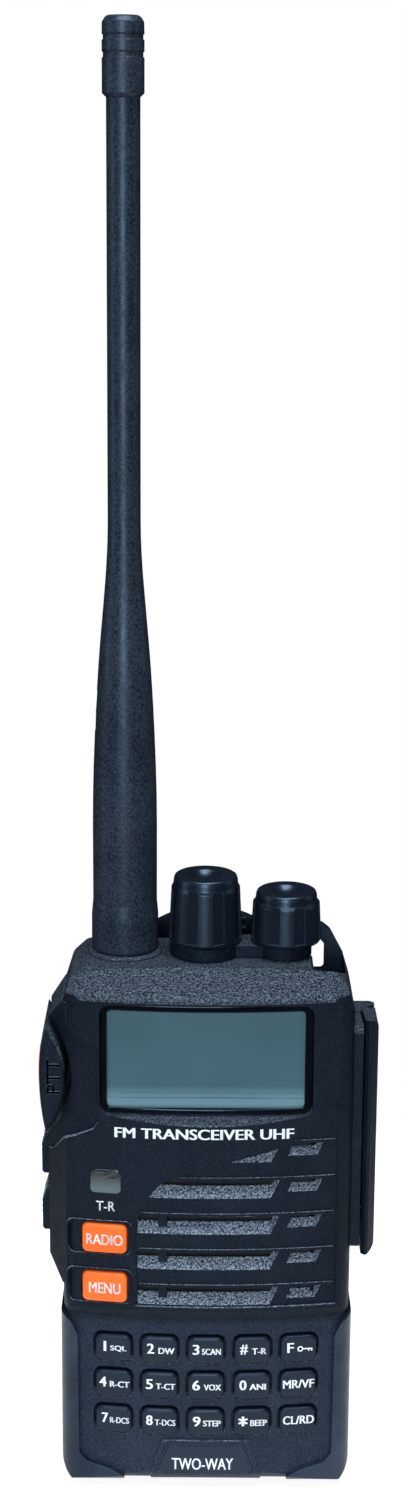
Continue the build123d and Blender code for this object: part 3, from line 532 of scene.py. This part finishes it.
# Legends in mm: text, then its left and right edge from the middle of the key. The first text of a
# key is the figure, or one large word, and the second is its function in small letters.
LEGEND_BASE = -0.72              # base line, from the middle of the key
FIGURE_H, WORD_H, SMALL_H = 2.1, 1.8, 1.28
FIGURE_WEIGHT, SMALL_WEIGHT = 0.03, 0.035
LEGENDS = {
    "key_1": (("1", -2.2, -1.15), ("SQL", -0.65, 2.55)),
    "key_2": (("2", -2.5, -1.05), ("DW", -0.25, 2.9)),
    "key_3": (("3", -2.6, -1.25), ("SCAN", -0.8, 2.9)),
    "key_hash": (("#", -2.4, -0.85), ("T-R", -0.05, 2.75)),
    "key_function": (("F", -2.2, -0.9),),
    "key_4": (("4", -2.8, -1.4), ("R-CT", -0.75, 3.1)),
    "key_5": (("5", -2.7, -1.3), ("T-CT", -0.75, 3.05)),
    "key_6": (("6", -2.65, -1.1), ("VOX", -0.4, 3.0)),
    "key_0": (("0", -2.45, -1.05), ("ANI", -0.5, 2.75)),
    "key_memory": (("MR/VF", -2.95, 3.2),),
    "key_7": (("7", -2.35, -1.1), ("R-DCS", -0.75, 3.0)),
    "key_8": (("8", -2.65, -1.35), ("T-DCS", -0.95, 3.1)),
    "key_9": (("9", -2.5, -0.95), ("STEP", -0.5, 3.0)),
    "key_star": (("*", -2.6, -0.75), ("BEEP", -0.25, 3.05)),
    "key_clear": (("CL/RD", -2.85, 3.3),),
}


def print_keypad(material):
    """Figures and words on the fifteen keypad keys."""
    for node, texts in LEGENDS.items():
        low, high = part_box(node)
        middle_x = (low.x + high.x) / 2
        middle_z = (low.z + high.z) / 2
        for index, (text, left, right) in enumerate(texts):
            small = index == 1
            height = SMALL_H if small else WORD_H if len(text) > 3 else FIGURE_H
            piece = lettering(
                f"{node}_legend_{index}", text, middle_x + (left + right) / 2 * MM,
                middle_z + LEGEND_BASE * MM, height * MM, (right - left) * MM, KEY_APEX, material,
                SMALL_WEIGHT if small else FIGURE_WEIGHT)
            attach(piece, node)


def print_orange(material):
    """Words on the two orange keys."""
    for node, text, width in (("key_radio", "RADIO", 7.0), ("key_menu", "MENU", 6.1)):
        low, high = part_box(node)
        middle_x = (low.x + high.x) / 2
        middle_z = (low.z + high.z) / 2
        apex = PANEL_APEX - 1.1 * MM
        piece = lettering(node + "_legend", text, middle_x, middle_z - 1.1 * MM, 2.2 * MM, width * MM,
                          apex, material, 0.015)
        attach(piece, node)


def print_panel(material):
    """Line under the display, sign under the status light and word on the name plate."""
    window_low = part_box("display_window")[0]
    status_low, status_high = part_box("status_window")
    title = lettering("title_print", "FM TRANSCEIVER UHF", -0.6 * MM, window_low.z - 4.4 * MM,
                      2.1 * MM, 34.1 * MM, PANEL_APEX, material, 0.03)
    status = lettering("status_print", "T-R", (status_low.x + status_high.x) / 2,
                       status_low.z - 3.7 * MM, 1.95 * MM, 3.6 * MM, PANEL_APEX, material, 0.015)
    for piece in (title, status):
        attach(piece, "body")
    badge = lettering("badge_print", "TWO-WAY", -0.55 * MM, 4.6 * MM, 2.5 * MM, 12.1 * MM,
                      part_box("badge_plate")[0].y, material, 0.02)
    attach(badge, "body")


def ring_points(centre_x, centre_z, half_w, half_h, radius, steps=6):
    """Points round a rounded rectangle in the (x, z) plane."""
    points = []
    for corner, (sx, sz) in enumerate(((1, 1), (-1, 1), (-1, -1), (1, -1))):
        for step in range(steps + 1):
            angle = math.radians(90 * corner + 90 * step / steps)
            points.append((centre_x + sx * (half_w - radius) + radius * math.cos(angle),
                           centre_z + sz * (half_h - radius) + radius * math.sin(angle)))
    return points


def add_piece(name, mesh, material, body):
    """A mesh that moves with a body of the record."""
    mesh.materials.append(material)
    piece = bpy.data.objects.new(name, mesh)
    bpy.context.scene.collection.objects.link(piece)
    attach(piece, body)


def bowed_frame(name, outer, inner, apex, thickness, material, body):
    """Thin bowed frame between two outlines that have the same number of points."""
    mesh = bpy.data.meshes.new(name)
    bm = bmesh.new()
    rings = []
    for depth in (0.0, thickness):
        for outline in (outer, inner):
            rings.append([bm.verts.new((x, bow(x, apex) + depth, z)) for x, z in outline])
    count = len(outer)
    for a, b in ((0, 1), (1, 3), (3, 2), (2, 0)):
        for i in range(count):
            j = (i + 1) % count
            bm.faces.new((rings[a][i], rings[a][j], rings[b][j], rings[b][i]))
    bmesh.ops.recalc_face_normals(bm, faces=bm.faces)
    bm.to_mesh(mesh)
    bm.free()
    add_piece(name, mesh, material, body)


def densify(points, pieces):
    """More points along the long straight runs, so that they can follow the bow."""
    result = []
    for index, (x0, z0) in enumerate(points):
        x1, z1 = points[(index + 1) % len(points)]
        long_run = math.hypot(x1 - x0, z1 - z0) > 3 * MM
        count = pieces if long_run else 1
        result += [(x0 + (x1 - x0) * k / count, z0 + (z1 - z0) * k / count) for k in range(count)]
    return result


def dress_display():
    """Black printed border behind the window and two painted highlight lines, the glints along the
    lower edge of the glass.
    """
    low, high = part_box("display_window")
    window_x = (low.x + high.x) / 2
    window_z = (low.z + high.z) / 2
    border = smooth_gloss("window_border", (0.0015, 0.002, 0.003), (0.003, 0.004, 0.006), (0.08, 0.16))
    outer = ring_points(window_x, window_z, 20.0 * MM, 10.85 * MM, 1.7 * MM)
    inner = ring_points(window_x - 0.15 * MM, window_z - 0.1 * MM, 18.75 * MM, 9.75 * MM, 0.9 * MM)
    bowed_frame("display_border", densify(outer, 12), densify(inner, 12), low.y + 0.25 * MM, 0.25 * MM,
                border, "body")
    # painted highlights: two bright lines that stand for glints along the edge of the glass
    line = smooth_gloss("display_edge_highlight", (0.11, 0.17, 0.21), (0.16, 0.23, 0.27), (0.2, 0.3))
    lcd_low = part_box("lcd_panel")[0]
    for index, rise in enumerate((2.1, 3.1)):
        strip = ring_points(window_x, lcd_low.z + rise * MM, 18.6 * MM, 0.09 * MM, 0.05 * MM, 2)
        mesh = bpy.data.meshes.new(f"display_highlight_line_{index}")
        bm = bmesh.new()
        bm.faces.new([bm.verts.new((x, lcd_low.y - PRINT_PROUD, z)) for x, z in strip])
        bm.to_mesh(mesh)
        bm.free()
        add_piece(f"display_highlight_line_{index}", mesh, line, "body")


def flat_piece(name, outlines, apex, material, body):
    """Printed shape from closed outlines in (x, z) on a bowed face."""
    mesh = bpy.data.meshes.new(name)
    bm = bmesh.new()
    for outline in outlines:
        bm.faces.new([bm.verts.new((x, bow(x, apex) - PRINT_PROUD, z)) for x, z in outline])
    bm.to_mesh(mesh)
    bm.free()
    add_piece(name, mesh, material, body)


def print_lock_symbol(material):
    """Small key sign on the function key: a ring, a shaft and two teeth."""
    low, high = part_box("key_function")
    x0 = (low.x + high.x) / 2 + 0.35 * MM
    z0 = (low.z + high.z) / 2 + 0.05 * MM
    outlines = []
    steps = 16
    for i in range(steps):
        a, b = (2 * math.pi * k / steps for k in (i, i + 1))
        outlines.append([(x0 + r * MM * math.cos(t), z0 + r * MM * math.sin(t))
                         for r, t in ((0.34, a), (0.58, a), (0.58, b), (0.34, b))])
    shaft_and_teeth = ((0.56, 2.35, -0.12, 0.12), (1.55, 1.78, -0.5, -0.1), (2.1, 2.35, -0.5, -0.1))
    for left, right, bottom, top in shaft_and_teeth:
        outlines.append([(x0 + x * MM, z0 + z * MM) for x, z in (
            (left, bottom), (right, bottom), (right, top), (left, top))])
    flat_piece("lock_symbol", outlines, KEY_APEX, material, "key_function")


def emboss_ptt(material):
    """Raised letters that run up the push-to-talk lever."""
    low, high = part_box("ptt_lever")
    mesh = text_mesh("ptt_letters", "PTT")
    embolden(mesh, 0.03)
    xs = [v.co.x for v in mesh.vertices]
    zs = [v.co.y for v in mesh.vertices]
    length, tall = 7.2 * MM, 2.4 * MM
    centre = Vector((low.x + 2.75 * MM, low.y, (low.z + high.z) / 2 + 0.5 * MM))
    bm = bmesh.new()
    bm.from_mesh(mesh)
    for vertex in bm.verts:
        along = ((vertex.co.x - min(xs)) / (max(xs) - min(xs)) - 0.5) * length
        across = ((vertex.co.y - min(zs)) / (max(zs) - min(zs)) - 0.5) * tall
        vertex.co = (centre.x - across, centre.y - 0.12 * MM, centre.z + along)
    extruded = bmesh.ops.extrude_face_region(bm, geom=bm.faces[:])["geom"]
    backs = [v for v in extruded if isinstance(v, bmesh.types.BMVert)]
    bmesh.ops.translate(bm, verts=backs, vec=(0, 0.2 * MM, 0))
    bmesh.ops.recalc_face_normals(bm, faces=bm.faces)
    bm.to_mesh(mesh)
    bm.free()
    add_piece("ptt_letters", mesh, material, "ptt")


make_camera()
make_studio()
make_floor()
MATERIALS = make_materials()
paint_cad_nodes(MATERIALS)
WHITE = white_print()
print_keypad(WHITE)
print_orange(WHITE)
print_panel(WHITE)
dress_display()
print_lock_symbol(WHITE)
emboss_ptt(smooth_gloss("ptt_raised", (0.02, 0.026, 0.038), (0.03, 0.038, 0.052), (0.3, 0.4)))
bpy.context.scene.view_settings.view_transform = "Standard"
